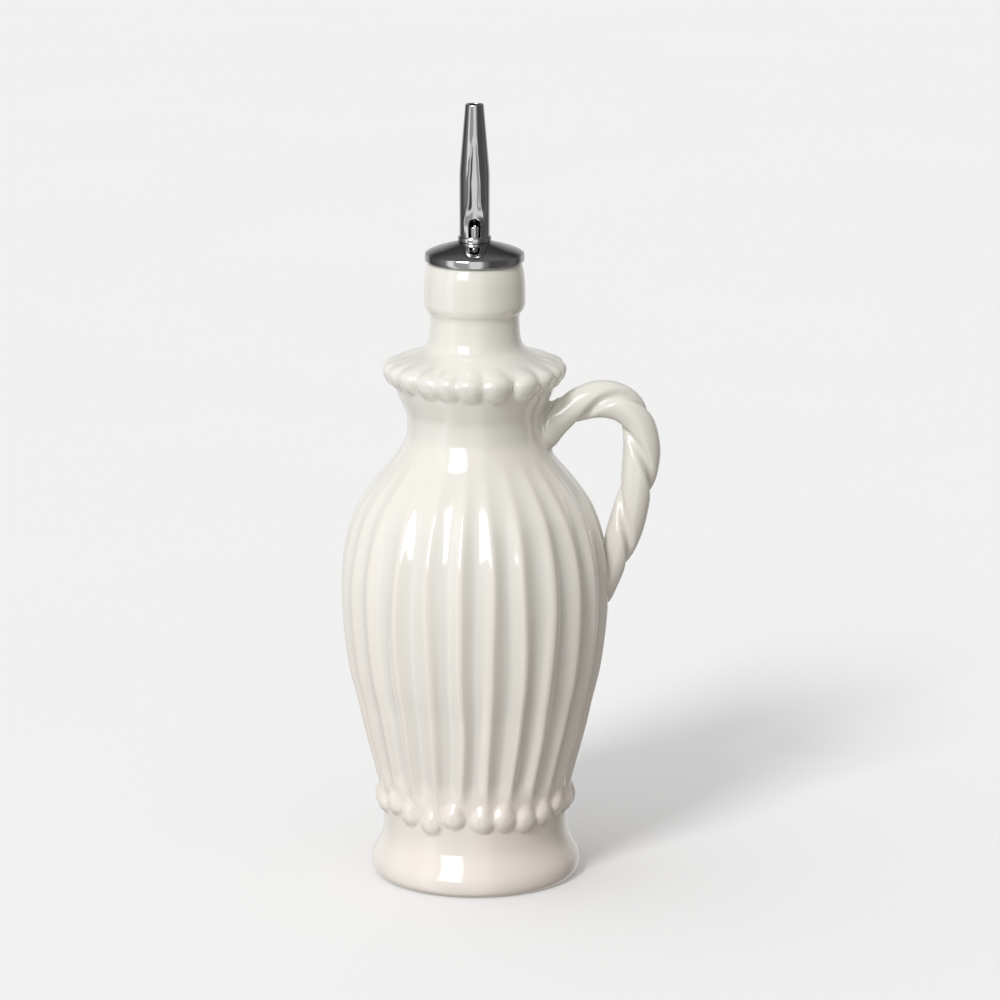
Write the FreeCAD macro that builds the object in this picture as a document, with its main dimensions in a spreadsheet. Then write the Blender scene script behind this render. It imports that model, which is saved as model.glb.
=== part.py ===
import FreeCAD, Part
import math
import os
import Sketcher
from FreeCAD import Placement, Rotation, Vector

# Oil dispenser bottle: a ribbed ceramic bottle with a twisted handle, and a steel pourer whose
# rubber stopper plugs its neck. Millimetres, +Z up. The origin is the centre of the foot, on the
# surface that the bottle stands on. The handle points along +X and the pourer's vent along -Y.

SIZES = {
    # the turn of one short cone where an outline is curved
    "arc_step": 30.0,
    # foot and the waist over it
    "foot_radius": 34.0,
    "foot_roll": 3.6,
    "foot_flank": 9.0,
    "foot_ring_width": 3.4,
    "foot_recess": 3.0,
    "foot_recess_slope": 1.6,
    "foot_spread": 3.9,
    "waist_height": 14.8,
    # outline of the wall, over its ridges
    "wall_base_step": 1.2,
    "flank_radius": 38.8,
    "flank_height": 60.0,
    "belly_radius": 43.95,
    "belly_height": 96.0,
    "shoulder_radius": 36.9,
    "shoulder_height": 124.0,
    "slope_radius": 26.2,
    "slope_height": 138.0,
    "neck_radius": 21.7,
    "neck_height": 149.5,
    # ribs
    "rib_count": 24,
    "flute_depth": 1.35,
    "flute_fade_below": 16.0,
    "flute_fade_above": 34.0,
    "flute_chords": 3,
    "wall_stations": 12,
    # flange and throat
    "flange_foot_radius": 24.9,
    "flange_radius": 26.6,
    "flange_edge_round": 2.0,
    "throat_radius": 14.3,
    "throat_height": 181.0,
    # ring round the mouth
    "mouth_ring_foot": 14.5,
    "mouth_ring_start": 186.2,
    "mouth_ring_edge": 1.7,
    "mouth_ring_top": 194.5,
    "lip_radius": 15.2,
    "lip_height": 201.2,
    "lip_width": 1.6,
    "ceramic_height": 202.6,
    # belts of beads, one on the waist and one under the flange
    "lower_bead_height": 25.6,
    "lower_bead_half_height": 3.9,
    "lower_bead_proud": 1.6,
    "upper_bead_count": 20,
    "upper_bead_height": 166.2,
    "upper_bead_half_height": 4.1,
    "upper_bead_proud": 2.7,
    "bead_chords": 4,
    "bead_bands": 4,
    # inside
    "wall_thickness": 4.0,
    "floor_thickness": 4.2,
    "shelf_radius": 17.0,
    "bore_radius": 11.0,
    "bore_foot_height": 177.0,
    "bore_chamfer": 0.8,
    # handle: its centre line and its two fused strands
    "handle_root_reach": 15.5,
    "handle_root_height": 144.6,
    "handle_crest_reach": 41.0,
    "handle_crest_height": 157.4,
    "handle_corner_reach": 51.8,
    "handle_corner_height": 152.2,
    "handle_outer_reach": 53.1,
    "handle_outer_height": 138.0,
    "handle_lower_reach": 48.6,
    "handle_lower_height": 116.0,
    "handle_foot_reach": 39.6,
    "handle_foot_height": 91.0,
    "strand_offset": 2.6,
    "strand_half_width": 3.9,
    "strand_half_depth": 4.8,
    "strand_crease": 1.3,
    "twist_pitch": 50.0,
    "twist_start": 28.0,
    "handle_root_flare": 1.25,
    "handle_foot_taper": 0.6,
    "handle_end_length": 9.0,
    "handle_sections": 25,
    "strand_corners": 14,
    # stopper
    "stopper_core_radius": 9.2,
    "stopper_rib_reach": 1.55,
    "stopper_rib_count": 5,
    "stopper_rib_pitch": 4.4,
    "stopper_rib_thickness": 1.5,
    "stopper_length": 24.0,
    # steel pourer
    "cap_radius": 15.9,
    "cap_skirt": 2.4,
    "cap_dome": 3.8,
    "cap_shoulder": 2.0,
    "cap_shoulder_rise": 1.15,
    "cap_shoulder_round": 6.0,
    "cap_gap": 0.2,
    "collar_radius": 5.35,
    "collar_height": 1.7,
    "collar_bevel": 0.35,
    "tube_radius": 4.8,
    "tube_wall": 0.6,
    "tube_straight": 22.0,
    "tube_length": 44.0,
    "tip_radius": 2.9,
    "tip_wall": 0.5,
    "press_depth": 0.75,
    "press_foot": 11.5,
    "press_length": 11.0,
    "window_width": 3.9,
    "window_height": 4.8,
    "window_gap": 0.2,
    "vent_radius": 1.7,
    "vent_wall": 0.35,
    "vent_top": 3.6,
    "vent_below_stopper": 10.0,
    "stem_below_stopper": 3.0,
    "turning_clearance": 0.08,
    "seat_clearance": 0.03,
    "vent_clearance": 0.1,
}

doc = FreeCAD.newDocument("oil_dispenser_bottle")
sheet = doc.addObject("Spreadsheet::Sheet", "sizes")
for row, (name, value) in enumerate(SIZES.items(), 1):
    sheet.set(f"A{row}", name)
    sheet.set(f"B{row}", str(value))
    sheet.setAlias(f"B{row}", name)
doc.recompute()


def size(name):
    """A driving size, as the sheet holds it."""
    return float(sheet.get(name))


def amount(terms):
    """The sum of the sizes named in terms. A name with a minus sign before it is taken away."""
    return sum(-size(term[1:]) if term[0] == "-" else size(term) for term in terms)


def formula(terms):
    """The same sum as an expression over the sheet."""
    return " + ".join("-sizes." + t[1:] if t[0] == "-" else "sizes." + t for t in terms)


def feature(name, shape):
    """A plain feature of the document that holds a shape."""
    made = doc.addObject("Part::Feature", name)
    made.Shape = shape
    made.Placement = Placement()
    return made


# The turned outlines of the ceramic


class Outline:
    """An outline in the XZ plane, drawn from point to point. An arc sets out as the last edge ended."""

    def __init__(self, radius, height):
        self.edges = []
        self.start = self.at = Vector(radius, 0, height)
        self.heading = Vector(1, 0, 0)

    def line(self, radius, height):
        end = Vector(radius, 0, height)
        self.edges.append(Part.LineSegment(self.at, end).toShape())
        self.heading = (end - self.at).normalize()
        self.at = end
        return self

    def arc(self, radius, height, heading=None):
        end = Vector(radius, 0, height)
        heading = heading or self.heading
        chord = end - self.at
        side = Vector(heading.z, 0, -heading.x)
        centre = self.at + side * (chord.dot(chord) / (2 * side.dot(chord)))
        reach = (self.at - centre).Length
        middle = centre + ((self.at + end) * 0.5 - centre).normalize() * reach
        bow = Part.Arc(self.at, middle, end).toShape()
        turn = math.degrees(bow.Length / reach)
        bends = bow.discretize(Number=1 + max(2, round(turn / size("arc_step"))))
        self.edges += [Part.LineSegment(a, b).toShape() for a, b in zip(bends, bends[1:])]
        along = chord * (1 / chord.Length)
        self.heading = along * (2 * along.dot(heading)) - heading
        self.at = end
        return self

    def turned(self):
        """The solid that the outline sweeps round the Z axis."""
        self.line(self.start.x, self.start.z)
        face = Part.Face(Part.Wire(self.edges))
        return face.revolve(Vector(), Vector(0, 0, 1), 360)


UP = Vector(0, 0, 1)
OUT = Vector(1, 0, 0)


def belt_span(name):
    """The lowest and highest height of a belt of beads."""
    middle, half = size(name + "_height"), size(name + "_half_height")
    return middle - half, middle + half


LOWER_BELT = belt_span("lower_bead")
UPPER_BELT = belt_span("upper_bead")
WAIST_RADIUS = size("foot_radius") - size("foot_spread")
WALL_BASE_RADIUS = WAIST_RADIUS + size("wall_base_step")


def foot():
    """The rolled foot with its standing ring, the recess under it and the waist over it."""
    contact = size("foot_radius") - size("foot_roll")
    ring_inside = contact - size("foot_ring_width")
    roll_height = size("foot_roll")
    flank = size("foot_flank")
    flank_centre = Vector(size("foot_radius") - flank, 0, roll_height)
    across = WAIST_RADIUS - flank_centre.x
    rise = size("waist_height") - roll_height
    cove = (across**2 + rise**2 - flank**2) / (2 * (flank - across))
    cove_centre = Vector(WAIST_RADIUS + cove, 0, size("waist_height"))
    meeting = flank_centre + (cove_centre - flank_centre).normalize() * flank
    line = Outline(0, size("foot_recess"))
    line.line(ring_inside - size("foot_recess_slope"), size("foot_recess"))
    line.line(ring_inside, 0)
    line.line(contact, 0)
    line.arc(size("foot_radius"), roll_height)
    line.arc(meeting.x, meeting.z)
    line.arc(WAIST_RADIUS, size("waist_height"))
    line.line(WAIST_RADIUS, LOWER_BELT[0])
    line.line(0, LOWER_BELT[0])
    return line.turned()


def neck():
    """The plain neck between the ribbed wall and the upper beads."""
    line = Outline(0, size("neck_height"))
    line.line(size("neck_radius"), size("neck_height"))
    line.arc(size("flange_foot_radius"), UPPER_BELT[0], UP)
    line.line(0, UPPER_BELT[0])
    return line.turned()


def mouth_top():
    """The top of the flange, the throat over it and the ring round the mouth."""
    rounding = size("flange_edge_round")
    ring_radius = size("mouth_ring_foot") + size("mouth_ring_edge")
    line = Outline(0, UPPER_BELT[1])
    line.line(size("flange_radius"), UPPER_BELT[1])
    line.arc(size("flange_radius") - rounding, UPPER_BELT[1] + rounding, UP)
    line.arc(size("throat_radius"), size("throat_height"))
    line.arc(size("mouth_ring_foot"), size("mouth_ring_start"), UP)
    line.arc(ring_radius, size("mouth_ring_start") + size("mouth_ring_edge"), OUT)
    line.line(ring_radius, size("mouth_ring_top"))
    line.arc(size("lip_radius"), size("lip_height"))
    line.arc(size("lip_radius") - size("lip_width"), size("ceramic_height"))
    line.line(0, size("ceramic_height"))
    return line.turned()


# The ribbed wall: a loft through rings of shallow flutes that meet in ridges


WALL_STAGES = ["flank", "belly", "shoulder", "slope", "neck"]


def eased(share):
    """0 below 0, 1 above 1 and a smooth rise between."""
    share = min(max(share, 0.0), 1.0)
    return share * share * (3 - 2 * share)


def around(radius, degrees, height):
    """The point at a radius and a height, turned from +X about the Z axis."""
    turn = math.radians(degrees)
    return Vector(radius * math.cos(turn), radius * math.sin(turn), height)


def flute_depth_at(height):
    """How deep the flutes are at a height: they fade out towards the foot and the neck."""
    below = (height - LOWER_BELT[1]) / size("flute_fade_below")
    above = (size("neck_height") - height) / size("flute_fade_above")
    return size("flute_depth") * eased(below) * eased(above)


def scalloped_ring(count, corner_radius, middle_radius, height, first, chords):
    """A closed ring of bows, each from corner to corner through its middle in short chords.
    First is where the first corner lies, in pitches."""
    pitch = 360 / count
    corners = []
    for place in range(count):
        turn = (place + first) * pitch
        start = around(corner_radius, turn, height)
        middle = around(middle_radius, turn + pitch / 2, height)
        end = around(corner_radius, turn + pitch, height)
        corners += Part.Arc(start, middle, end).toShape().discretize(Number=chords + 1)[:-1]
    return Part.makePolygon(corners + corners[:1])


def ribbed_wall():
    """The ribbed belly and shoulder, from the waist to the neck."""
    points = [Vector(WALL_BASE_RADIUS, 0, LOWER_BELT[1])]
    points += [Vector(size(s + "_radius"), 0, size(s + "_height")) for s in WALL_STAGES]
    side = Part.BSplineCurve()
    side.interpolate(Points=points)
    count, chords = int(size("rib_count")), int(size("flute_chords"))
    rings = []
    for place in side.toShape().discretize(Number=int(size("wall_stations"))):
        valley = place.x - flute_depth_at(place.z)
        rings.append(scalloped_ring(count, place.x, valley, place.z, 0.5, chords))
    return Part.makeLoft(rings, True, True)


def hollow_wall():
    """The space inside the foot and the ribbed wall, flat between the lines behind the ridges."""
    places = [
        (WAIST_RADIUS, size("foot_recess") + size("floor_thickness")),
        (WALL_BASE_RADIUS, LOWER_BELT[1]),
    ]
    places += [(size(s + "_radius"), size(s + "_height")) for s in WALL_STAGES]
    rings = []
    for radius, height in places:
        inside = radius - flute_depth_at(height) - size("wall_thickness")
        rings.append(scalloped_ring(int(size("rib_count")), inside, inside, height, 0.5, 1))
    return Part.makeLoft(rings, True, True)


# Belts of beads: clay beads side by side, with the gaps between them on the carrier's surface


def bead_belt(count, span, foot_radius, top_radius, proud):
    """A belt of beads over a span of heights, whose gaps run from one radius to the other."""
    bands = int(size("bead_bands"))
    rings = []
    for band in range(bands + 1):
        turn = math.pi * band / bands
        share = (1 - math.cos(turn)) / 2
        height = span[0] + (span[1] - span[0]) * share
        gap = foot_radius + (top_radius - foot_radius) * share
        peak = gap + proud * math.sin(turn)
        rings.append(scalloped_ring(count, gap, peak, height, 0, int(size("bead_chords"))))
    return Part.makeLoft(rings, True, True)


# The handle: two strands laid side by side and twisted, a loft through their joined section


def strand_section(centre, outward, turn, scale):
    """The joined section of both strands, a rounded figure of eight turned about the handle's line."""
    across = Vector(0, 1, 0)
    long_way = outward * math.cos(turn) + across * math.sin(turn)
    short_way = across * math.cos(turn) - outward * math.sin(turn)
    reach = size("strand_offset") + size("strand_half_width")
    corners = []
    count = int(size("strand_corners"))
    for corner in range(count):
        angle = 2 * math.pi * corner / count
        u = reach * math.cos(angle)
        crease = size("strand_crease") * math.exp(-((2 * u / size("strand_half_width")) ** 2))
        v = (size("strand_half_depth") - crease) * math.sin(angle)
        corners.append(centre + (long_way * u + short_way * v) * scale)
    return Part.makePolygon(corners + corners[:1])


def handle():
    """The twisted handle, from inside the wall of the neck to inside the wall of the belly."""
    stages = ["root", "crest", "corner", "outer", "lower", "foot"]
    points = [Vector(size(f"handle_{s}_reach"), 0, size(f"handle_{s}_height")) for s in stages]
    line = Part.BSplineCurve()
    line.interpolate(Points=points)
    length = line.length()
    sections = []
    count = int(size("handle_sections"))
    for step in range(count):
        gone = length * step / (count - 1)
        place = line.parameterAtDistance(gone)
        along = Vector(*line.tangent(place)[0])
        outward = Vector(-along.z, 0, along.x)
        turn = math.radians(360 * (gone - size("twist_start")) / size("twist_pitch"))
        near_root = eased(1 - gone / size("handle_end_length"))
        near_foot = eased(1 - (length - gone) / (2 * size("handle_end_length")))
        scale = 1 + (size("handle_root_flare") - 1) * near_root
        scale += (size("handle_foot_taper") - 1) * near_foot
        sections.append(strand_section(line.value(place), outward, turn, scale))
    return Part.makeLoft(sections, True, True)


# Sketches and turned bodies for what is cut or made of steel and rubber


def origin_plane(body, role):
    """One of a body's own origin planes."""
    return next(f for f in body.Origin.OriginFeatures if f.Role == role)


def outline_sketch(body, name, corners, plane="XZ_Plane"):
    """A closed outline of straight lines. Each corner is two sums of sizes: across and up."""
    sketch = body.newObject("Sketcher::SketchObject", name)
    sketch.AttachmentSupport = [(origin_plane(body, plane), "")]
    sketch.MapMode = "FlatFace"
    points = [Vector(amount(across), amount(up), 0) for across, up in corners]
    for start, end in zip(points, points[1:] + points[:1]):
        sketch.addGeometry(Part.LineSegment(start, end), False)
    for edge in range(len(points)):
        following = (edge + 1) % len(points)
        sketch.addConstraint(Sketcher.Constraint("Coincident", edge, 2, following, 1))
    for edge, (across, up) in enumerate(corners):
        for kind, axis, terms in (("DistanceX", -2, across), ("DistanceY", -1, up)):
            if terms:
                fixed = Sketcher.Constraint(kind, -1, 1, edge, 1, amount(terms))
                number = sketch.addConstraint(fixed)
                sketch.setExpression(f"Constraints[{number}]", formula(terms))
            else:
                sketch.addConstraint(Sketcher.Constraint("PointOnObject", edge, 1, axis))
    return sketch


def turned_body(name, corners):
    """A body turned about the Z axis from one outline."""
    body = doc.addObject("PartDesign::Body", name)
    sketch = outline_sketch(body, name + "_outline", corners)
    turning = body.newObject("PartDesign::Revolution", name + "_turning")
    turning.Profile = sketch
    turning.ReferenceAxis = (sketch, ["V_Axis"])
    turning.Angle = 360
    doc.recompute()
    return body


def round_edges(body, name, radius_name, places):
    """Rounds the body's circular edges at the given radii and heights, each a sum of sizes."""
    wanted = [(amount(radius), amount(height)) for radius, height in places]
    names = []
    for number, edge in enumerate(body.Shape.Edges, 1):
        if edge.Curve.TypeId != "Part::GeomCircle":
            continue
        found = (edge.Curve.Radius, edge.Curve.Center.z)
        if any(math.dist(found, w) < 1e-4 for w in wanted):
            names.append(f"Edge{number}")
    sharp = body.Tip
    rounding = body.newObject("PartDesign::Fillet", name)
    rounding.Base = (sharp, names)
    rounding.setExpression("Radius", "sizes." + radius_name)
    body.Tip = rounding
    doc.recompute()


# Bottle: one fired piece

clay = doc.addObject("Part::MultiFuse", "clay")
clay.Refine = False
clay.Shapes = [
    feature("foot", foot()),
    feature(
        "lower_beads",
        bead_belt(
            int(size("rib_count")),
            LOWER_BELT,
            WAIST_RADIUS,
            WALL_BASE_RADIUS,
            size("lower_bead_proud"),
        ),
    ),
    feature("ribbed_wall", ribbed_wall()),
    feature("neck", neck()),
    feature(
        "upper_beads",
        bead_belt(
            int(size("upper_bead_count")),
            UPPER_BELT,
            size("flange_foot_radius"),
            size("flange_radius"),
            size("upper_bead_proud"),
        ),
    ),
    feature("mouth_top", mouth_top()),
    feature("handle", handle()),
]

hollow_neck = turned_body(
    "hollow_neck",
    [
        ([], ["neck_height"]),
        (["neck_radius", "-wall_thickness"], ["neck_height"]),
        (["shelf_radius"], ["upper_bead_height"]),
        (["bore_radius"], ["bore_foot_height"]),
        (["bore_radius"], ["ceramic_height", "-bore_chamfer"]),
        (["bore_radius", "bore_chamfer", "bore_chamfer"], ["ceramic_height", "bore_chamfer"]),
        ([], ["ceramic_height", "bore_chamfer"]),
    ],
)
hollow = doc.addObject("Part::MultiFuse", "hollow")
hollow.Shapes = [feature("hollow_wall", hollow_wall()), hollow_neck]
bottle = doc.addObject("Part::Cut", "bottle")
bottle.Base = clay
bottle.Tool = hollow
bottle.Refine = False

# Stopper: a moulded rubber sleeve with ribs that grip the neck

mouth = ["ceramic_height"]
stopper_foot = mouth + ["-stopper_length"]
stopper_bore = ["tube_radius", "turning_clearance"]
rib_edge = ["stopper_core_radius", "stopper_rib_reach"]
sleeve = [(stopper_bore, mouth), (stopper_bore, stopper_foot), (["stopper_core_radius"], stopper_foot)]
for rib in range(int(size("stopper_rib_count"))):
    rib_foot = stopper_foot + ["stopper_rib_pitch"] * rib + ["stopper_rib_thickness"]
    rib_top = rib_foot + ["stopper_rib_thickness"]
    sleeve.append((["stopper_core_radius"], rib_foot))
    sleeve.append((rib_edge, rib_top))
    sleeve.append((["stopper_core_radius"], rib_top))
sleeve.append((["stopper_core_radius"], mouth))
stopper = turned_body("stopper", sleeve)

# Cap disc: a domed steel disc that covers the mouth

seat = ["tube_radius", "seat_clearance"]
cap_foot = mouth + ["cap_gap"]
skirt_top = cap_foot + ["cap_skirt"]
dome_top = skirt_top + ["cap_dome"]
cap_break = (["cap_radius", "-cap_shoulder"], skirt_top + ["cap_shoulder_rise"])
cap_disc = turned_body(
    "cap_disc",
    [(seat, cap_foot), (["cap_radius"], cap_foot), (["cap_radius"], skirt_top), cap_break, (seat, dome_top)],
)
round_edges(cap_disc, "dome_rounding", "cap_shoulder_round", [cap_break])

# Spout collar: a small steel ring where the tube leaves the dome

collar_top = dome_top + ["collar_height"]
spout_collar = turned_body(
    "spout_collar",
    [
        (seat, dome_top),
        (["collar_radius"], dome_top),
        (["collar_radius"], collar_top + ["-collar_bevel"]),
        (["collar_radius", "-collar_bevel"], collar_top),
        (seat, collar_top),
    ],
)

# Spout: a drawn steel tube, pressed in at the front, with an arched vent window

stem_foot = stopper_foot + ["-stem_below_stopper"]
bend_height = dome_top + ["tube_straight"]
tip_height = dome_top + ["tube_length"]
bore = ["tube_radius", "-tube_wall"]
tip_bore = ["tip_radius", "-tip_wall"]
tube_outside = turned_body(
    "tube_outside",
    [
        ([], stem_foot),
        (["tube_radius"], stem_foot),
        (["tube_radius"], bend_height),
        (["tip_radius"], tip_height),
        ([], tip_height),
    ],
)
tube_inside = turned_body(
    "tube_inside",
    [
        ([], stem_foot + ["-tube_wall"]),
        (bore, stem_foot + ["-tube_wall"]),
        (bore, bend_height),
        (tip_bore, tip_height),
        (tip_bore, tip_height + ["tube_wall"]),
        ([], tip_height + ["tube_wall"]),
    ],
)


def pressed(name, tube, front):
    """The tube with the hollow that a round bar presses into its front, which lies at a radius."""
    radius = "(sizes.press_length ^ 2 / (8 * sizes.press_depth) + sizes.press_depth / 2)"
    bar = doc.addObject("Part::Cylinder", name + "_bar")
    bar.Placement = Placement(Vector(), Rotation(Vector(0, 1, 0), 90))
    bar.setExpression("Radius", radius)
    bar.setExpression("Height", "4 * sizes.tube_radius")
    bar.setExpression("Placement.Base.x", "-2 * sizes.tube_radius")
    bar.setExpression("Placement.Base.y", f"-({formula(front)}) - ({radius} - sizes.press_depth)")
    middle = formula(dome_top + ["press_foot"]) + " + sizes.press_length / 2"
    bar.setExpression("Placement.Base.z", middle)
    cut = doc.addObject("Part::Cut", name)
    cut.Base = tube
    cut.Tool = bar
    return cut


drawn_tube = doc.addObject("Part::Cut", "drawn_tube")
drawn_tube.Base = pressed("pressed_outside", tube_outside, ["tube_radius"])
drawn_tube.Tool = pressed("pressed_inside", tube_inside, bore)

window_side = doc.addObject("Part::Box", "window_side")
window_side.setExpression("Width", "2 * sizes.tube_radius")
window_side.setExpression("Length", "sizes.window_width")
window_side.setExpression("Height", "sizes.window_height - sizes.window_width / 2")
window_side.setExpression("Placement.Base.x", "-sizes.window_width / 2")
window_side.setExpression("Placement.Base.y", "-2 * sizes.tube_radius")
window_side.setExpression("Placement.Base.z", formula(collar_top + ["window_gap"]))
window_arch = doc.addObject("Part::Cylinder", "window_arch")
window_arch.setExpression("Radius", "sizes.window_width / 2")
window_arch.setExpression("Height", "2 * sizes.tube_radius")
window_arch.Placement = Placement(Vector(), Rotation(Vector(1, 0, 0), 90))
arch_height = formula(collar_top + ["window_gap", "window_height"]) + " - sizes.window_width / 2"
window_arch.setExpression("Placement.Base.z", arch_height)
window = doc.addObject("Part::Fuse", "window")
window.Base = window_side
window.Tool = window_arch
spout = doc.addObject("Part::Cut", "spout")
spout.Base = drawn_tube
spout.Tool = window

# Vent tube: a thin steel tube that lets air into the bottle, from the window to under the stopper

vent_foot = stopper_foot + ["-vent_below_stopper"]
vent_head = collar_top + ["vent_top"]
vent_bore = ["vent_radius", "-vent_wall"]
vent_tube = turned_body(
    "vent_tube",
    [
        (vent_bore, vent_foot),
        (["vent_radius"], vent_foot),
        (["vent_radius"], vent_head),
        (vent_bore, vent_head),
    ],
)
vent_tube.setExpression("Placement.Base.y", "-(" + formula(bore + ["-vent_clearance", "-vent_radius"]) + ")")

# Every sub-part is checked, then written to a file of its own

doc.recompute()
failed = [made.Name for made in doc.Objects if {"Invalid", "Error"} & set(made.State)]
if failed:
    raise RuntimeError("these objects failed: " + ", ".join(failed))
os.makedirs("parts", exist_ok=True)
nodes = [bottle, stopper, cap_disc, spout_collar, spout, vent_tube]
for node in nodes:
    node.Label = node.Name
    shape = node.Shape
    if shape.isNull() or not shape.isValid() or len(shape.Solids) != 1:
        raise RuntimeError(node.Label + " is not one valid solid")
for node in nodes:
    node.Shape.exportStep(f"parts/{node.Label}.step")
    print(node.Label, round(node.Shape.Volume), "mm3")
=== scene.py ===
import math

import bmesh
import bpy
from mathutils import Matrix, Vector


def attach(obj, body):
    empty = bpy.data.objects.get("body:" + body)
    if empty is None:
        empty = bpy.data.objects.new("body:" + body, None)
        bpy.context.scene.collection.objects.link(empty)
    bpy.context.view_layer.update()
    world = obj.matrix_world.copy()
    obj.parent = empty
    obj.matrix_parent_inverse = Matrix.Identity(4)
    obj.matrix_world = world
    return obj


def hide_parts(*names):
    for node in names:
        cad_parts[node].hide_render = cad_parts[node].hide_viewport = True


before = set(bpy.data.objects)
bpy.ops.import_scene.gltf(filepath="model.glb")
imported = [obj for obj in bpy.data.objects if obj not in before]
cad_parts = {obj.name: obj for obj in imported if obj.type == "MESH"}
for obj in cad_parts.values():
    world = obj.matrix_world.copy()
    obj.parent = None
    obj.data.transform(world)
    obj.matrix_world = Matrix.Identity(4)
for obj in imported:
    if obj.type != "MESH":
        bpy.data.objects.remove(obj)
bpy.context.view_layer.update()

# The bottle is one fired piece of white stoneware: cast with a ribbed belly, a belt of clay beads
# pressed on at the waist and another under the flange, and dipped in a thick ivory glaze. It is
# shaped here in millimetres, as it is turned, and made metres when it is finished.


def turned(points, steps):
    """A bmesh of an outline of (radius, height) points, spun about the Z axis."""
    shape = bmesh.new()
    corners = [shape.verts.new((radius, 0, height)) for radius, height in points]
    edges = [shape.edges.new(pair) for pair in zip(corners, corners[1:])]
    bmesh.ops.spin(shape, geom=corners + edges, cent=(0, 0, 0), axis=(0, 0, 1), angle=2 * math.pi,
                   steps=steps, use_merge=True)
    bmesh.ops.remove_doubles(shape, verts=shape.verts, dist=1e-4)
    bmesh.ops.recalc_face_normals(shape, faces=shape.faces)
    return shape


def flowing(knots, step):
    """Points about a step apart along a smooth curve through the knots."""
    points = []
    ends = [knots[0]] + knots + [knots[-1]]
    for before, start, end, after in zip(ends, ends[1:], ends[2:], ends[3:]):
        count = max(1, round(math.dist(start, end) / step))
        for place in range(count):
            t = place / count
            points.append(tuple(
                0.5 * (2 * b + (c - a) * t + (2 * a - 5 * b + 4 * c - d) * t**2
                       + (3 * b - a - 3 * c + d) * t**3)
                for a, b, c, d in zip(before, start, end, after)
            ))
    return points + [knots[-1]]


def eased(share):
    """0 below 0, 1 above 1 and a smooth rise between."""
    share = min(max(share, 0.0), 1.0)
    return share * share * (3 - 2 * share)


# Azimuths are in degrees, from the front towards the handle. The ridges and beads that the front
# shows stand unevenly, as a hand set them. Each bead has an azimuth and a height.

RIDGE_AZIMUTHS = [-79.5, -65.7, -52, -36.2, -21, -5.7, 7.6, 22.2, 36.4, 50.6, 64.5, 79.5,
                  95, 110, 126, 141, 154.5, 171, 186, 200.5, 216, 231, 246, 264]
LOWER_BEADS = [(-57.5, 26.8), (-43.5, 24.5), (-27.5, 22.8), (-13, 25.6), (4.8, 25.0), (17.6, 25.2),
               (32, 24.0), (45.7, 24.7), (58.5, 26.4), (74, 25.4), (90, 24.6), (105, 24.0),
               (120, 24.8), (134, 25.3), (150, 24.4), (166, 23.9), (181, 24.9), (196, 25.5),
               (210, 24.6), (226, 24.1), (241, 24.9), (256, 25.6), (270, 24.8), (286, 25.4)]
LOWER_BEAD = {"half_width": 3.9, "above": 6.3, "below": 3.4, "proud": 2.1}
UPPER_BEADS = [(-68, 167.2), (-52, 166.9), (-33, 166.4), (-18.5, 166.7), (-3, 166.8), (14.6, 166.7),
               (38, 166.0), (56, 166.5), (72.6, 166.9), (91, 166.6), (109, 166.9), (126, 166.4),
               (145, 166.9), (163, 166.5), (181, 166.8), (199, 166.3), (218, 166.9), (236, 166.6),
               (255, 166.9), (274, 166.9)]
UPPER_BEAD = {"half_width": 4.9, "above": 6.2, "below": 4.7, "proud": 2.5}
BEAD_UNEVENNESS = 0.09
FIRST_BEADED_RIDGE = 2
BEAD_PULL = 0.35
FLUTE_FOOT = 27
FLUTE_FOOT_RUN = 12
FLUTE_HEAD = 146
FLUTE_HEAD_RUN = 38
FLUTE_DEPTH = 1.9
FLUTE_CURVE = 1.9
FLUTE_STRETCH = 1.17
RIDGE_ROUNDING = 0.16


def azimuth_of(place):
    """Degrees from the front (-Y), positive towards the handle (+X)."""
    return math.degrees(math.atan2(place.x, -place.y))


def nearest_turn(azimuth, other):
    """How far an azimuth lies past another one, from -180 to 180 degrees."""
    return (azimuth - other + 180) % 360 - 180


def ridge_place(number, height):
    """A ridge's azimuth at a height: each one wavers a little, and leans to its bead low down."""
    sway = 0.6 * math.sin(height / 17 + number * 2.4) + 0.25 * math.sin(height / 7.5 + number * 4.1)
    pull = 1 - eased((height - 26) / 34)
    bead = LOWER_BEADS[(number - FIRST_BEADED_RIDGE) % len(LOWER_BEADS)]
    gap = nearest_turn(bead[0], RIDGE_AZIMUTHS[number])
    return RIDGE_AZIMUTHS[number] + sway * (1 - pull) + BEAD_PULL * gap * pull


def flute_share(azimuth, height):
    """0 on a ridge and 1 in the middle of a flute."""
    places = [nearest_turn(azimuth, ridge_place(n, height)) for n in range(len(RIDGE_AZIMUTHS))]
    past = min(p for p in places if p >= 0)
    short = -max(p for p in places if p < 0)
    share = min(past, short) / (0.5 * (past + short))
    rounded = math.hypot(share, RIDGE_ROUNDING) - RIDGE_ROUNDING
    return 1 - (1 - min(1.0, rounded * FLUTE_STRETCH)) ** FLUTE_CURVE


def flute_depth(height):
    """How deep the flutes are at a height."""
    opened = eased((height - FLUTE_FOOT) / FLUTE_FOOT_RUN)
    not_closed = eased((FLUTE_HEAD - height) / FLUTE_HEAD_RUN)
    return FLUTE_DEPTH * opened * not_closed


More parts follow.
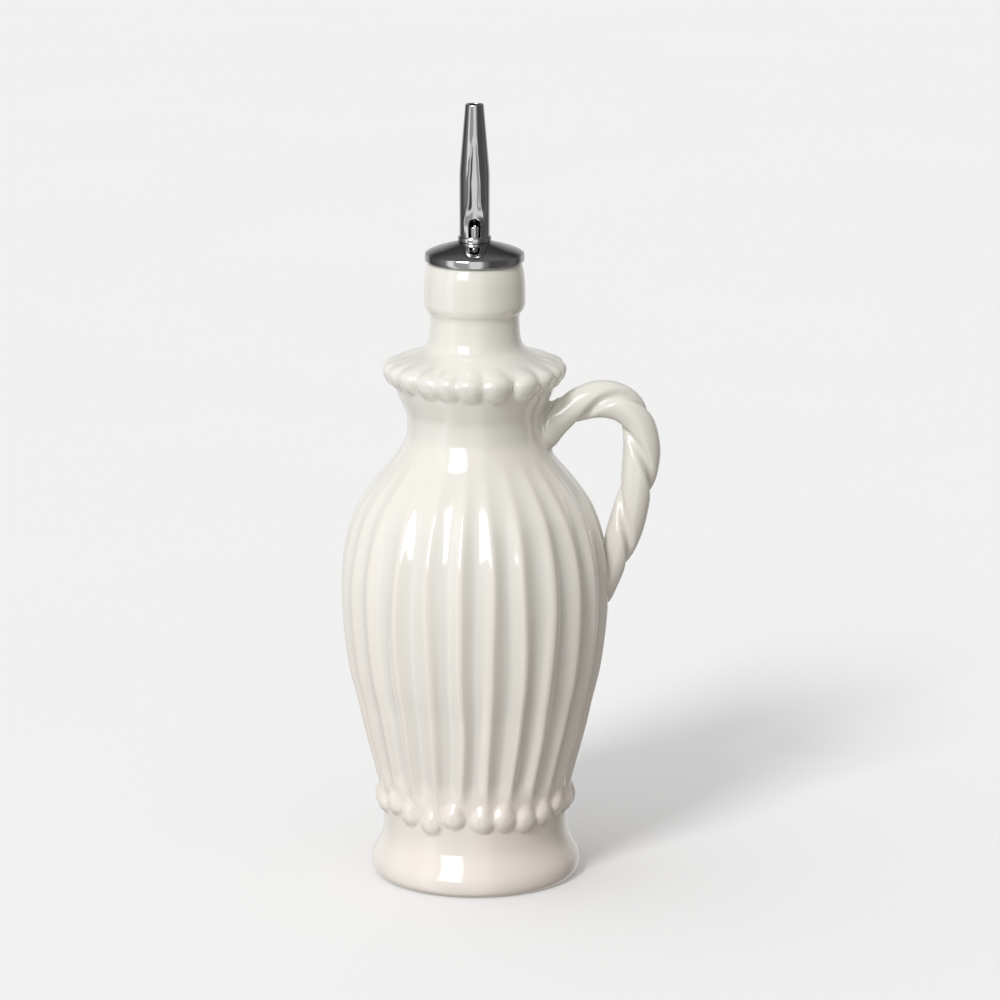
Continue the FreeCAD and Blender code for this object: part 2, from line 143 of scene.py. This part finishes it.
def bead_rise(azimuth, height, radius, beads, half_width, above, below, proud):
    """How far the beads of a belt stand out of the wall at a place, and how they run into it."""
    rise = 0.0
    for number, (centre, middle) in enumerate(beads):
        across = math.radians(nearest_turn(azimuth, centre)) * radius
        if abs(across) > 1.5 * half_width:
            continue
        size = 1 + BEAD_UNEVENNESS * math.sin(number * 5.3)
        up = height - middle
        reach = math.hypot(across / (half_width * size), up / (above if up > 0 else below * size))
        softness = 0.6 + 0.9 * eased(up / (0.6 * above))
        rise += (proud * size * max(0.0, 1 - reach**2.2) ** softness) ** 3
    return rise ** (1 / 3)


# The outlines are (radius, height) from the hollow under the foot up to the rim, and then the
# room for the oil from above the mouth down to the floor.

RIM = 202.6
STEPS_AROUND = 288
wall_knots = [
    (30.4, 0.0), (32.6, 0.55), (33.75, 2.0), (34.0, 4.0), (33.6, 6.3), (32.3, 9.0), (30.9, 11.8),
    (30.15, 14.6), (30.0, 17.5), (30.2, 21.0), (30.6, 25.0), (31.2, 29.0), (32.4, 34.0),
    (34.5, 42.0), (36.8, 51.0), (38.8, 60.0), (41.2, 70.0), (42.8, 81.0), (43.45, 90.0),
    (43.55, 97.0), (42.95, 105.0), (41.3, 113.5), (38.7, 121.0), (35.9, 126.0), (31.5, 132.0),
    (26.5, 137.8), (23.6, 142.2), (22.05, 145.6), (21.7, 148.2), (21.7, 150.5), (22.1, 153.4),
    (23.5, 156.8), (25.0, 160.2), (26.4, 164.2), (27.1, 167.4),
]
flange_knots = [
    (27.1, 167.4), (27.1, 168.6), (26.3, 169.8), (24.2, 170.9), (21.2, 172.1), (17.8, 173.5),
    (15.9, 174.9), (14.9, 177.0), (14.45, 180.0), (14.3, 183.0), (14.3, 184.9), (14.7, 186.2),
]
ring_knots = [
    (14.7, 186.2), (15.5, 187.1), (16.1, 188.6), (16.2, 190.5), (16.15, 194.0), (15.9, 198.0),
    (15.3, 201.0), (14.75, 202.1), (13.6, RIM),
]
outline = [(0, 3), (12, 3), (22, 3), (25.4, 3.0), (25.9, 2.6), (26.8, 0.3), (27.2, 0.0), (28.5, 0.0),
           (29.6, 0.0)]
outline += flowing(wall_knots, 0.85) + flowing(flange_knots, 0.8)[1:] + flowing(ring_knots, 0.7)[1:]
outline += [(0, RIM)]
oil_room = [
    (0, 206), (13.2, 206), (13.2, 203.1), (12.1, 202.45), (11.3, 202.0), (11.0, 201.3), (11.0, 190.0),
    (11.0, 178.0), (11.6, 176.2), (15.3, 171.0), (17.0, 166.0), (17.2, 157.0), (17.7, 149.5),
    (19.3, 142.0), (23.4, 136.0), (30.9, 126.0), (36.0, 114.0), (38.0, 103.0), (38.4, 94.0),
    (37.2, 80.0), (33.6, 60.0), (28.8, 38.0), (26.9, 26.0), (25.9, 12.0), (24.5, 8.4), (20.0, 7.3),
    (10, 7.2), (0, 7.2),
]

WORKED_HEIGHTS = (14, 172)
LEAST_WORKED_RADIUS = 20
LOWER_BELT_TOP = 38
UPPER_BELT_FOOT = 155

clay = turned(outline, STEPS_AROUND)
for vert in clay.verts:
    height = vert.co.z
    radius = math.hypot(vert.co.x, vert.co.y)
    if WORKED_HEIGHTS[0] < height < WORKED_HEIGHTS[1] and radius > LEAST_WORKED_RADIUS:
        azimuth = azimuth_of(vert.co)
        change = 0.0
        if FLUTE_FOOT < height < FLUTE_HEAD:
            change -= flute_depth(height) * flute_share(azimuth, height)
        if height < LOWER_BELT_TOP:
            change += bead_rise(azimuth, height, radius, LOWER_BEADS, **LOWER_BEAD)
        if height > UPPER_BELT_FOOT:
            change += bead_rise(azimuth, height, radius, UPPER_BEADS, **UPPER_BEAD)
        scale = (radius + change) / radius
        vert.co.x *= scale
        vert.co.y *= scale

# The handle is a straight round bar of two rolled strands, laid side by side. It is twisted, bent
# along its line and luted to the neck and the belly while the clay is soft.

handle_line = [(19.0, 146.5), (26.5, 151.8), (34.0, 156.0), (41.0, 157.6), (47.5, 155.8), (52.0, 150.5),
               (53.6, 143.0), (53.2, 135.0), (51.4, 126.0), (48.8, 116.0), (45.6, 106.0), (42.6, 98.0),
               (39.6, 91.0)]
TWIST_PITCH = 50.0
TWIST_START = 24.5
STRANDS_LONG = 5.55
STRANDS_SHORT = 5.05
CREASE_DEPTH = 1.7
CREASE_HALF = 1.7
ROOT_LENGTH = 11
ROOT_FLARE = 0.28
FOOT_LENGTH = 24
FOOT_TAPER = 0.26

centre_line = flowing(handle_line, 1.0)
travelled = [0.0]
for start, end in zip(centre_line, centre_line[1:]):
    travelled.append(travelled[-1] + math.dist(start, end))
handle_length = travelled[-1]


def on_handle(gone):
    """The centre line's place and its outward direction, a distance along it."""
    for number, (low, high) in enumerate(zip(travelled, travelled[1:])):
        if gone <= high or number == len(travelled) - 2:
            break
    share = (gone - low) / (high - low)
    start, end = centre_line[number], centre_line[number + 1]
    place = Vector((start[0] + (end[0] - start[0]) * share, 0, start[1] + (end[1] - start[1]) * share))
    ahead = centre_line[min(number + 3, len(centre_line) - 1)]
    behind = centre_line[max(number - 2, 0)]
    along = Vector((ahead[0] - behind[0], 0, ahead[1] - behind[1])).normalized()
    return place, Vector((-along.z, 0, along.x))


def as_object(shape, name):
    """An object that holds a shape."""
    mesh = bpy.data.meshes.new(name)
    shape.to_mesh(mesh)
    shape.free()
    made = bpy.data.objects.new(name, mesh)
    bpy.context.collection.objects.link(made)
    return made


def worked(shape, *tools):
    """A shape after others, given with UNION or DIFFERENCE, are joined to it or cut from it."""
    base = as_object(shape, "base")
    used = [base]
    for tool, operation in tools:
        used.append(as_object(tool, "tool"))
        work = base.modifiers.new(operation, "BOOLEAN")
        work.operation = operation
        work.object = used[-1]
        work.solver = "EXACT"
    graph = bpy.context.evaluated_depsgraph_get()
    result = bmesh.new()
    result.from_mesh(bpy.data.meshes.new_from_object(base.evaluated_get(graph)))
    for spent in used:
        bpy.data.objects.remove(spent)
    return result


bar = bmesh.new()
bmesh.ops.create_cone(bar, cap_ends=True, segments=56, radius1=1, radius2=1, depth=1)
lengthwise = [edge for edge in bar.edges if abs(edge.verts[0].co.z - edge.verts[1].co.z) > 0.5]
bmesh.ops.subdivide_edges(bar, edges=lengthwise, cuts=170)
for vert in bar.verts:
    gone = (vert.co.z + 0.5) * handle_length
    place, outward = on_handle(gone)
    turn = 2 * math.pi * (gone - TWIST_START) / TWIST_PITCH
    across = Vector((0, 1, 0))
    long_way = outward * math.cos(turn) + across * math.sin(turn)
    short_way = across * math.cos(turn) - outward * math.sin(turn)
    near_root = 1 - eased(gone / ROOT_LENGTH)
    near_foot = 1 - eased((handle_length - gone) / FOOT_LENGTH)
    swell = 1.09 - 0.09 * eased((gone - 62) / 25) + 0.02 * math.sin(gone / 4.1 + 1)
    scale = (1 + ROOT_FLARE * near_root) * (1 - FOOT_TAPER * near_foot) * swell
    long_reach = STRANDS_LONG * vert.co.x
    crease = CREASE_DEPTH * math.exp(-((long_reach / CREASE_HALF) ** 2)) * (1 - 0.5 * near_root)
    short_reach = (STRANDS_SHORT - crease) * vert.co.y
    vert.co = place + (long_way * long_reach + short_way * short_reach) * scale
bmesh.ops.recalc_face_normals(bar, faces=bar.faces)

fired = worked(clay, (bar, "UNION"), (turned(oil_room, 96), "DIFFERENCE"))
bmesh.ops.remove_doubles(fired, verts=fired.verts, dist=0.01)

# Slip, which is clay thinned with water, is worked into the two joints of the handle, so that they
# run softly into the wall. Only what lies round the sharp edges of a joint is smoothed.

JOINT_HALF_WIDTH = 7.5
SHARP_JOINT = 0.75
JOINT_RINGS = 4
STROKES = 30

luted = set()
for edge in fired.edges:
    middle = (edge.verts[0].co + edge.verts[1].co) / 2
    at_neck = 20.5 < middle.x < 31 and 138 < middle.z < 158
    at_belly = 34 < middle.x < 46 and 84 < middle.z < 116
    if (at_neck or at_belly) and abs(middle.y) < JOINT_HALF_WIDTH and edge.calc_face_angle(0) > SHARP_JOINT:
        luted.update(edge.verts)
for ring in range(JOINT_RINGS):
    luted |= {edge.other_vert(vert) for vert in luted for edge in vert.link_edges}
for stroke in range(STROKES):
    bmesh.ops.smooth_vert(fired, verts=list(luted), factor=0.5,
                          use_axis_x=True, use_axis_y=True, use_axis_z=True)

# The glaze pools in the flutes, where it is a cool grey-green, and thins on ridges and beads and
# towards the foot, where the warm body shows through.

GREATEST_FLUTED_RADIUS = 44.2
LEAST_FLUTED_RADIUS = 19
EVEN_POOL = 0.4

pool = fired.verts.layers.float.new("pool")
for vert in fired.verts:
    height = vert.co.z
    radius = math.hypot(vert.co.x, vert.co.y)
    fluted = FLUTE_FOOT < height < FLUTE_HEAD and LEAST_FLUTED_RADIUS < radius < GREATEST_FLUTED_RADIUS
    if fluted:
        vert[pool] = flute_share(azimuth_of(vert.co), height) * flute_depth(height) / FLUTE_DEPTH
    else:
        vert[pool] = EVEN_POOL


class Finish:
    """A shader socket that takes part in Python sums."""

    def __init__(self, tree, socket=None):
        self.tree = tree
        self.socket = socket

    def node(self, kind, settings=None, **inputs):
        """Adds a node: settings first, then the values or links of its sockets."""
        made = self.tree.nodes.new(kind)
        for name, value in (settings or {}).items():
            if name == "stops":
                ramp = made.color_ramp
                while len(ramp.elements) < len(value):
                    ramp.elements.new(0.5)
                for element, (place, colour) in zip(ramp.elements, value):
                    element.position = place
                    element.color = colour
            else:
                setattr(made, name, value)
        for name, value in inputs.items():
            numbered = name[1:].isdigit()
            socket = made.inputs[int(name[1:]) if numbered else name.replace("_", " ")]
            if isinstance(value, Finish):
                self.tree.links.new(value.socket, socket)
            else:
                socket.default_value = value
        return made

    def value(self, kind, output=0, settings=None, **inputs):
        """One output of a new node."""
        return Finish(self.tree, self.node(kind, settings, **inputs).outputs[output])

    def feed(self, shader, name):
        """Links this socket to one of a shader's."""
        self.tree.links.new(self.socket, shader.inputs[name])

    def sum_of(self, operation, first, second=0.0):
        return self.value("ShaderNodeMath", 0, {"operation": operation}, i0=first, i1=second)

    def __add__(self, other):
        return self.sum_of("ADD", self, other)

    __radd__ = __add__

    def __sub__(self, other):
        return self.sum_of("SUBTRACT", self, other)

    def __rsub__(self, other):
        return self.sum_of("SUBTRACT", other, self)

    def __mul__(self, other):
        return self.sum_of("MULTIPLY", self, other)

    __rmul__ = __mul__

    def blend(self, first, second):
        """A colour between two colours, by this socket as the factor."""
        return self.value("ShaderNodeMix", 2, {"data_type": "RGBA"}, i0=self, i6=first, i7=second)

    def rise(self, low, high, smooth=True):
        """0 where this socket is at low, and 1 where it is at high."""
        settings = {"interpolation_type": "SMOOTHSTEP"} if smooth else None
        return self.value("ShaderNodeMapRange", 0, settings, Value=self, From_Min=low, From_Max=high)


def new_material(name):
    """A material, a starting point for its nodes, and its shader."""
    material = bpy.data.materials.new(name)
    material.use_nodes = True
    return material, Finish(material.node_tree), material.node_tree.nodes["Principled BSDF"]


def on_piece(start):
    """The place on a piece, in metres."""
    return start.value("ShaderNodeTexCoord", 3)


IVORY = (0.835, 0.82, 0.76, 1)
COOL_GLAZE = (0.785, 0.79, 0.74, 1)
WARM_BODY = (0.845, 0.745, 0.685, 1)
MM = 0.001


def finish_piece(shape, name, material, body):
    """Turns millimetres into metres and makes the shape an object that rides on its body."""
    bmesh.ops.scale(shape, vec=(MM, MM, MM), verts=shape.verts)
    piece = as_object(shape, name)
    piece.data.materials.append(material)
    piece.data.shade_smooth()
    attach(piece, body)
    return piece


glaze, start, shader = new_material("ivory_glaze")
place = on_piece(start)
pooled = start.value("ShaderNodeAttribute", 2, {"attribute_name": "pool"})
height = start.value("ShaderNodeSeparateXYZ", 2, Vector=place)
broad = start.value("ShaderNodeTexNoise", Vector=place, Scale=22.0, Detail=3.0, Roughness=0.5)
fine = start.value("ShaderNodeTexNoise", Vector=place, Scale=260.0, Detail=4.0, Roughness=0.6)
lower = height.rise(0.15, 0.0)
thin = (1 - 0.5 * pooled) * (0.2 + 0.8 * lower) * (0.3 + 1.4 * broad)
colour = (pooled * 0.7).blend(IVORY, COOL_GLAZE)
(0.68 * thin).blend(colour, WARM_BODY).feed(shader, "Base Color")
(0.07 + 0.06 * fine + 0.05 * broad).feed(shader, "Roughness")
dimples = broad + 0.25 * fine
start.value("ShaderNodeBump", Strength=0.06, Distance=0.0004, Height=dimples).feed(shader, "Normal")
shader.inputs["Coat Weight"].default_value = 0.6
shader.inputs["Coat Roughness"].default_value = 0.03
shader.inputs["IOR"].default_value = 1.5

bottle = finish_piece(fired, "bottle_glazed", glaze, "bottle")
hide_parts("bottle")

# The stopper is a moulded black rubber sleeve with soft ribs. It holds the steel tube and grips the
# bore of the neck.

STOPPER_FOOT = 178.6
SLEEVE_BORE = 4.9
SLEEVE_RADIUS = 9.2
RIB_PITCH = 4.4

rubber, start, shader = new_material("stopper_rubber")
grain = start.value("ShaderNodeTexNoise", Vector=on_piece(start), Scale=900.0, Detail=3.0)
grain.blend((0.018, 0.018, 0.019, 1), (0.035, 0.034, 0.033, 1)).feed(shader, "Base Color")
(0.5 + 0.25 * grain).feed(shader, "Roughness")
start.value("ShaderNodeBump", Strength=0.2, Distance=0.0001, Height=grain).feed(shader, "Normal")

sleeve = [(SLEEVE_BORE, STOPPER_FOOT + 0.3), (5.3, STOPPER_FOOT), (8.7, STOPPER_FOOT),
          (9.15, STOPPER_FOOT + 0.5)]
for rib in range(5):
    low = STOPPER_FOOT + 1.5 + RIB_PITCH * rib
    sleeve += [(SLEEVE_RADIUS, low), (9.7, low + 0.35), (10.55, low + 1.1)]
    sleeve += [(10.73, low + 1.45), (10.5, low + 1.6), (SLEEVE_RADIUS, low + 1.7)]
sleeve += [(SLEEVE_RADIUS, 202.1), (8.9, 202.58), (5.2, 202.58), (SLEEVE_BORE, 202.3), sleeve[0]]
stopper = finish_piece(turned(sleeve, 72), "stopper_sleeve", rubber, "stopper")
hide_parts("stopper")

# The cap is a pressed disc of polished stainless steel: a low dome, a bright chamfer and a short
# skirt that covers the mouth. It is soldered to the tube.

CAP_FOOT = 202.8
RIM_BORE = 4.83

steel, start, shader = new_material("polished_steel")
place = on_piece(start)
smear = start.value("ShaderNodeTexNoise", Vector=place, Scale=70.0, Detail=4.0, Roughness=0.6)
stretched = start.value("ShaderNodeMapping", Vector=place, Scale=(1.0, 1.0, 0.04))
lines = start.value("ShaderNodeTexNoise", Vector=stretched, Scale=2600.0, Detail=2.0)
smear.blend((0.66, 0.66, 0.665, 1), (0.72, 0.72, 0.72, 1)).feed(shader, "Base Color")
(0.045 + 0.05 * smear + 0.04 * lines).feed(shader, "Roughness")
start.value("ShaderNodeBump", Strength=0.05, Distance=0.00005, Height=lines).feed(shader, "Normal")
shader.inputs["Metallic"].default_value = 1.0
shader.inputs["Specular Tint"].default_value = (0.7, 0.7, 0.7, 1)

skirt = [(RIM_BORE, CAP_FOOT), (12.0, CAP_FOOT), (15.7, CAP_FOOT), (15.88, CAP_FOOT + 0.15)]
skirt += [(15.89, 203.6), (15.89, 204.4), (15.86, 205.0), (15.72, 205.3), (15.4, 205.55)]
dome_knots = [(15.4, 205.55), (14.9, 205.85), (13.9, 206.35), (12.0, 207.05), (9.0, 207.95),
              (6.6, 208.6), (5.4, 208.9), (RIM_BORE, 208.98)]
cap_outline = skirt + flowing(dome_knots, 0.4)[1:] + skirt[:1]
cap = finish_piece(turned(cap_outline, 160), "cap_dome", steel, "pourer")
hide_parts("cap_disc")

# The collar is a small turned steel ring with rounded edges. It is soldered round the tube, where
# that leaves the dome.

COLLAR_FOOT = 209.0

collar_outline = [(RIM_BORE, COLLAR_FOOT), (5.2, COLLAR_FOOT), (5.33, 209.15), (5.34, 209.6),
                  (5.34, 210.1), (5.3, 210.45), (5.15, 210.66), (4.95, 210.7), (RIM_BORE, 210.65),
                  (RIM_BORE, COLLAR_FOOT)]
collar = finish_piece(turned(collar_outline, 96), "tube_collar", steel, "pourer")
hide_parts("spout_collar")

# The spout is a drawn steel tube that tapers to its mouth. A tool has pressed its front into a
# narrow channel, which opens downwards into a hood round the arched vent window. The channel is
# given by heights, each with its half width and its depth.

TUBE_FOOT = 175.6
TUBE_RADIUS = 4.8
TUBE_BORE = 4.2
HOOD_FOOT = 208.0
WINDOW_HALF = 1.95
WINDOW_FOOT = 210.9
WINDOW_TOP = 217.0
CHANNEL = [(210.9, 3.1, 0.0), (213.0, 3.05, 0.1), (216.2, 2.9, 0.3), (218.6, 2.4, 0.55),
           (220.6, 1.75, 0.85), (222.6, 1.5, 0.6), (228.0, 1.45, 0.4), (234.0, 1.1, 0.28),
           (239.0, 0.8, 0.14), (244.0, 0.6, 0.0)]
CHANNEL_RIM = 0.2
FRONT_AZIMUTH = 100
PUNCH_FRONT = -8.0
PUNCH_STROKE = 7.6


def pressed_in(azimuth, height, radius):
    """How far the front of the tube is pressed in, less how far the hood's rim stands out."""
    across = math.radians(azimuth) * radius
    if abs(azimuth) > FRONT_AZIMUTH or not CHANNEL[0][0] < height < CHANNEL[-1][0]:
        return 0.0
    for lower, upper in zip(CHANNEL, CHANNEL[1:]):
        if height <= upper[0]:
            break
    share = eased((height - lower[0]) / (upper[0] - lower[0]))
    half_width, depth = (low + (high - low) * share for low, high in zip(lower[1:], upper[1:]))
    channel = depth * math.exp(-((across / half_width) ** 4))
    beside_rim = (abs(across) - 1.25 * half_width) / 0.45
    return channel - CHANNEL_RIM * min(1, depth / 0.25) * math.exp(-(beside_rim**2))


taper = [(4.8, 229.6), (4.72, 232.0), (4.5, 234.8), (4.1, 239.5), (3.5, 246.5), (2.95, 252.6)]
mouth = [(2.94, 252.95), (2.9, 253.0), (2.45, 253.0), (2.4, 252.95)]
inner_taper = [(2.4, 252.6), (3.0, 246.0), (3.6, 239.0), (4.0, 234.0), (4.2, 230.0)]

tube_outline = [(TUBE_BORE, TUBE_FOOT), (TUBE_RADIUS, TUBE_FOOT)]
tube_outline += [(TUBE_RADIUS, TUBE_FOOT + step * 2.9) for step in range(1, 12)]
tube_outline += [(TUBE_RADIUS, HOOD_FOOT + step * 0.5) for step in range(44)]
tube_outline += flowing(taper, 0.5)[1:] + mouth + flowing(inner_taper, 0.8)
tube_outline += [(TUBE_BORE, 229.5 - step * 0.5) for step in range(43)]
tube_outline += [(TUBE_BORE, 207.5 - step * 2.9) for step in range(11)]
tube_outline += [(TUBE_BORE, TUBE_FOOT)]
tube = turned(tube_outline, 144)
for vert in tube.verts:
    radius = math.hypot(vert.co.x, vert.co.y)
    if vert.co.z > HOOD_FOOT:
        scale = (radius - pressed_in(azimuth_of(vert.co), vert.co.z, radius)) / radius
        vert.co.x *= scale
        vert.co.y *= scale

punch = bmesh.new()
bmesh.ops.create_circle(punch, cap_ends=True, segments=48, radius=WINDOW_HALF)
for vert in punch.verts:
    vert.co.y = vert.co.y + WINDOW_TOP - WINDOW_HALF if vert.co.y > -0.01 else WINDOW_FOOT
    vert.co = Vector((vert.co.x, PUNCH_FRONT, vert.co.y))
swept = bmesh.ops.extrude_face_region(punch, geom=punch.faces[:])["geom"]
far_end = [part for part in swept if isinstance(part, bmesh.types.BMVert)]
bmesh.ops.translate(punch, vec=(0, PUNCH_STROKE, 0), verts=far_end)
bmesh.ops.remove_doubles(punch, verts=punch.verts, dist=1e-4)
bmesh.ops.recalc_face_normals(punch, faces=punch.faces)

spout = finish_piece(worked(tube, (punch, "DIFFERENCE")), "drawn_spout", steel, "pourer")
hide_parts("spout")
spout.modifiers.new("weighted", "WEIGHTED_NORMAL")

# The vent tube is a thin drawn steel pipe, soldered inside the front of the spout. Its open top
# shows in the window, and its foot hangs below the stopper.

PIPE_FOOT = 168.6
PIPE_RADIUS = 1.7
PIPE_BORE = 1.35
PIPE_FORWARD = 2.4

pipe_outline = [(PIPE_BORE, PIPE_FOOT), (PIPE_RADIUS, PIPE_FOOT), (PIPE_RADIUS, 190.0), (PIPE_RADIUS, 205.0),
                (PIPE_RADIUS, 213.9), (1.62, 214.25), (1.45, 214.3), (PIPE_BORE, 214.2),
                (PIPE_BORE, 200.0), (PIPE_BORE, PIPE_FOOT)]
pipe = turned(pipe_outline, 64)
bmesh.ops.translate(pipe, vec=(0, -PIPE_FORWARD, 0), verts=pipe.verts)
vent = finish_piece(pipe, "vent_pipe", steel, "pourer")
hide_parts("vent_tube")

# The stage is a wide sheet of pale paper. The glaze and the steel don't mirror it, and it neither
# throws light back at the bottle nor keeps off it the room's light from below, so that the room
# alone sets how dim the bottle's right side and foot are.

FLOOR_HALF = 9.0

floor_shape = bmesh.new()
bmesh.ops.create_grid(floor_shape, x_segments=1, y_segments=1, size=FLOOR_HALF)
floor = as_object(floor_shape, "floor")
paper, start, shader = new_material("pale_paper")
fibre = start.value("ShaderNodeTexNoise", Vector=on_piece(start), Scale=6.0, Detail=2.0)
fibre.blend((0.865, 0.865, 0.865, 1), (0.875, 0.875, 0.875, 1)).feed(shader, "Base Color")
shader.inputs["Roughness"].default_value = 0.9
shader.inputs["Specular IOR Level"].default_value = 0.0
floor.data.materials.append(paper)
floor.visible_glossy = False
floor.visible_diffuse = False
floor.visible_shadow = False

# The key light stands to the left of the camera, far off, so that it is even over the floor. The
# glaze and the steel mirror it as a tall white window, which the room below holds.

KEY_AZIMUTH = math.radians(-29)
KEY_ELEVATION = math.radians(39)
KEY_STRENGTH = 1.45
KEY_SOFTNESS = math.radians(15)

key_data = bpy.data.lights.new("key", "SUN")
key_data.energy = KEY_STRENGTH
key_data.angle = KEY_SOFTNESS
key = bpy.data.objects.new("key", key_data)
key.location = (
    math.cos(KEY_ELEVATION) * math.sin(KEY_AZIMUTH),
    -math.cos(KEY_ELEVATION) * math.cos(KEY_AZIMUTH),
    math.sin(KEY_ELEVATION),
)
key.rotation_euler = (-key.location).to_track_quat("-Z", "Y").to_euler()
key.visible_glossy = False
bpy.context.collection.objects.link(key)

# The room gives matt surfaces a soft light, brighter from the left than from the right. What shines
# mirrors a dark studio with two pale strips, the white window and the pale ground behind.

STRIP = 0.95
FRONT_STRIP = 0.85
OVERHEAD = (0.14, 0.14, 0.145, 1)
WINDOW_LIGHT = (6.0, 6.0, 5.9, 1)
GROUND_BEHIND = (0.72, 0.72, 0.71, 1)
LEFT_FILL = (0.90, 0.905, 0.91, 1)
RIGHT_FILL = (0.21, 0.185, 0.15, 1)
TOP_FILL = (0.80, 0.80, 0.805, 1)

world = bpy.data.worlds.new("studio")
world.use_nodes = True
bpy.context.scene.world = world
start = Finish(world.node_tree)
direction = start.value("ShaderNodeTexCoord", 0)
parts = start.node("ShaderNodeSeparateXYZ", Vector=direction)
sideways, forward, upward = (Finish(start.tree, socket) for socket in parts.outputs)
azimuth = start.sum_of("ARCTAN2", sideways, -1 * forward) * (0.5 / math.pi) + 0.5


def grey(azimuth_degrees, level):
    """A stop of the ramp round the room."""
    return (azimuth_degrees + 180) / 360, (level, level, level, 1)


def round_the_room(*stops):
    """Levels of grey by azimuth."""
    return start.value("ShaderNodeValToRGB", 0, {"stops": [grey(*stop) for stop in stops]}, Fac=azimuth)


room = round_the_room(
    (-180, 0.05), (-125, 0.06), (-98, 0.10), (-70, 0.24), (-63, STRIP), (-52, STRIP), (-46, 0.40),
    (-16, 0.40), (-9, FRONT_STRIP), (14, FRONT_STRIP), (23, 0.25), (38, 0.08), (78, 0.09), (98, 0.14),
    (124, 0.08), (142, 0.05), (180, 0.05))
studio = upward.rise(0.55, 0.9).blend(room, OVERHEAD)
window_sides = round_the_room((-43, 0.0), (-41.5, 1.0), (-16.5, 1.0), (-15, 0.0))
window_foot = upward.rise(0.16, 0.19, smooth=False)
window_head = upward.rise(0.80, 0.77, smooth=False)
studio = (window_sides * window_foot * window_head).blend(studio, WINDOW_LIGHT)
behind = forward.rise(0.55, 0.85, smooth=False)
low_down = upward.rise(0.5, 0.1, smooth=False)
studio = (behind * low_down).blend(studio, GROUND_BEHIND)
around = (0.5 + 0.5 * sideways).blend(LEFT_FILL, RIGHT_FILL)
fill = upward.rise(0.2, 0.9).blend(around, TOP_FILL)
mirrored = start.value("ShaderNodeLightPath", 3)
mirrored.blend(fill, studio).feed(world.node_tree.nodes["Background"], "Color")
bpy.context.scene.view_settings.view_transform = "Standard"

# The camera looks down on the bottle from the front, with a long lens.

DISTANCE = 1.539
PITCH = math.radians(13.5)
AIM = (0.00807, 0.0, 0.1242)
SENSOR_MM = 36
LENS_SHARE = 4.77

camera_data = bpy.data.cameras.new("camera")
camera_data.lens = SENSOR_MM * LENS_SHARE
camera_data.sensor_width = SENSOR_MM
camera_data.clip_start = 0.05
camera_data.clip_end = 50
camera = bpy.data.objects.new("camera", camera_data)
camera.location = (AIM[0], -DISTANCE * math.cos(PITCH), AIM[2] + DISTANCE * math.sin(PITCH))
camera.rotation_euler = (math.pi / 2 - PITCH, 0, 0)
bpy.context.collection.objects.link(camera)
bpy.context.scene.camera = camera
